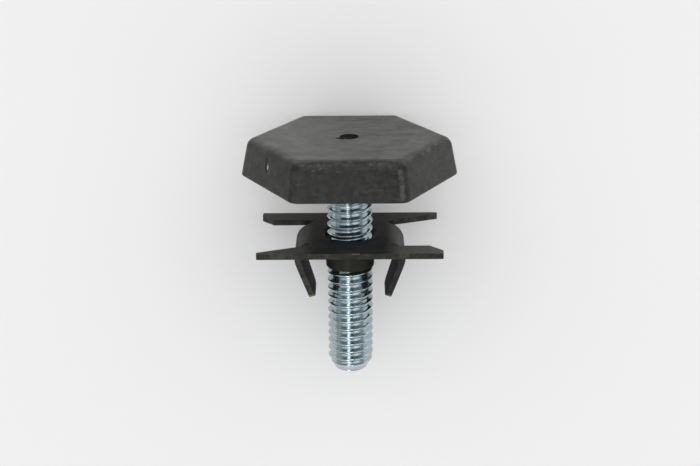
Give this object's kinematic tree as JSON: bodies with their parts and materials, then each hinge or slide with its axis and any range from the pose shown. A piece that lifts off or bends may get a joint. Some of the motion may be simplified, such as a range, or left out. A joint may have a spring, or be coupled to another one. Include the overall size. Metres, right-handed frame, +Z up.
{
  "type": "appliance levelling leg",
  "caption": "Hexagonal moulded foot on a threaded stud, with a spring clip nut that snaps into an appliance's base and sets its height.",
  "frame": {"origin": "centre of the foot's ground face, on the stud's axis", "axes": "+Z up along the stud, from the foot to its tip; the clip's arms lie along X and two flats of the foot face +Y and -Y"},
  "size_m": [0.036, 0.0316, 0.0415],
  "materials": {
    "foot_plastic": "moulded dark grey, satin with fine scuffs",
    "zinc_steel": "blue-clear zinc plate over rolled thread",
    "black_spring_steel": "oiled black oxide, semi-gloss, browner on the sheared edges"
  },
  "bodies": {
    "leg": {"hex_foot": "foot_plastic", "threaded_stud": "zinc_steel"},
    "clip": {"clip_nut": "black_spring_steel"}
  },
  "joints": [
    {"name": "clip_travel", "type": "slide", "parent": "leg", "child": "clip", "axis": [0, 0, 1], "range_m": [-0.00988, 0.01693]}
  ]
}
